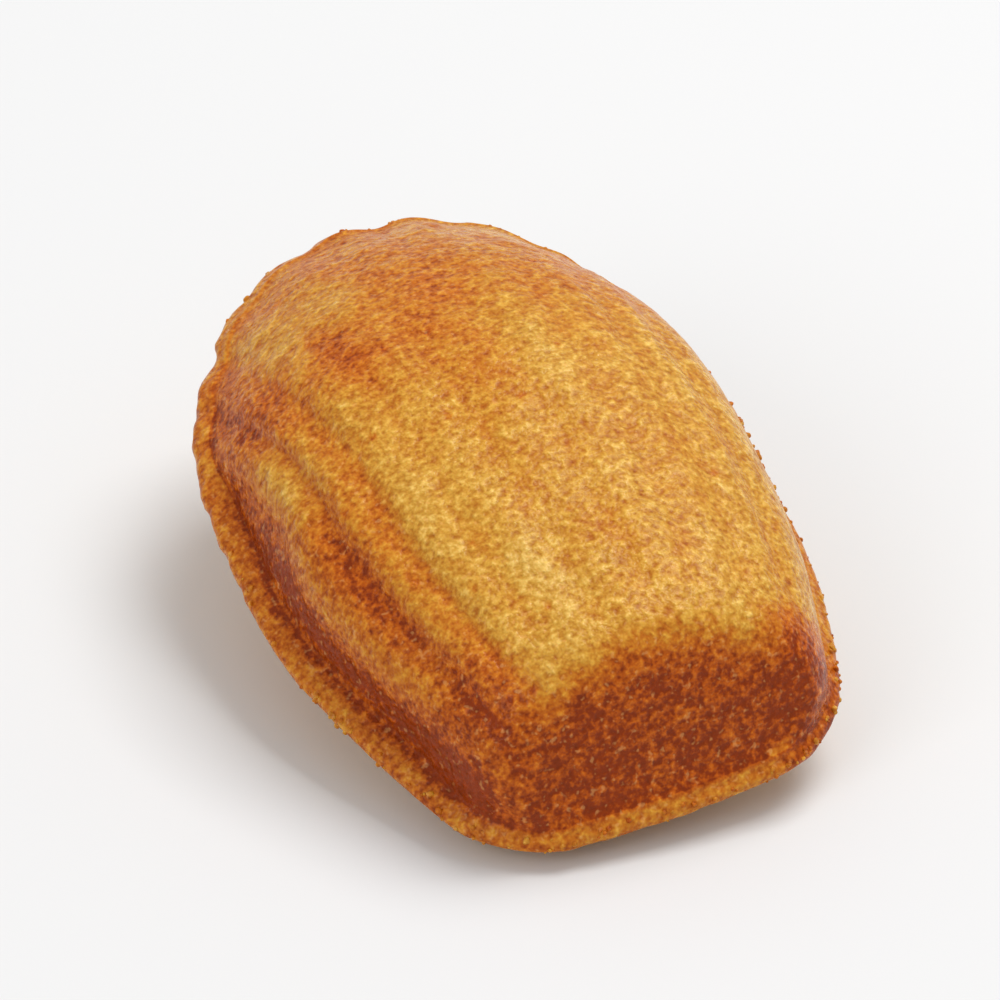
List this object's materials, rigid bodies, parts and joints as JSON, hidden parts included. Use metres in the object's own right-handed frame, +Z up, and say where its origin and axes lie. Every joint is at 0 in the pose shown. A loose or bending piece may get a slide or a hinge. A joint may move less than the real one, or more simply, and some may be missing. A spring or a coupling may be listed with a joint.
{
  "type": "madeleine cake",
  "caption": "Small shell-shaped sponge cake with a ribbed golden crust, a thin scalloped lip and a domed hump below, resting on its hump",
  "frame": {"origin": "centre of the bottom of the cake's box, on the floor it rests on", "axes": "+Z up. +Y runs along the cake from its narrow end to its round end, +X across it, towards the side that the cake leans up on"},
  "size_m": [0.0514, 0.0746, 0.0307],
  "materials": {
    "golden_crust": "dry baked sponge crust, finely grained and pored, pale gold on the crown and the ribs' crests, darker brown in the valleys, on the lower flanks and on the narrow face"
  },
  "bodies": {
    "root": {"shell_cake": "golden_crust"}
  },
  "joints": []
}
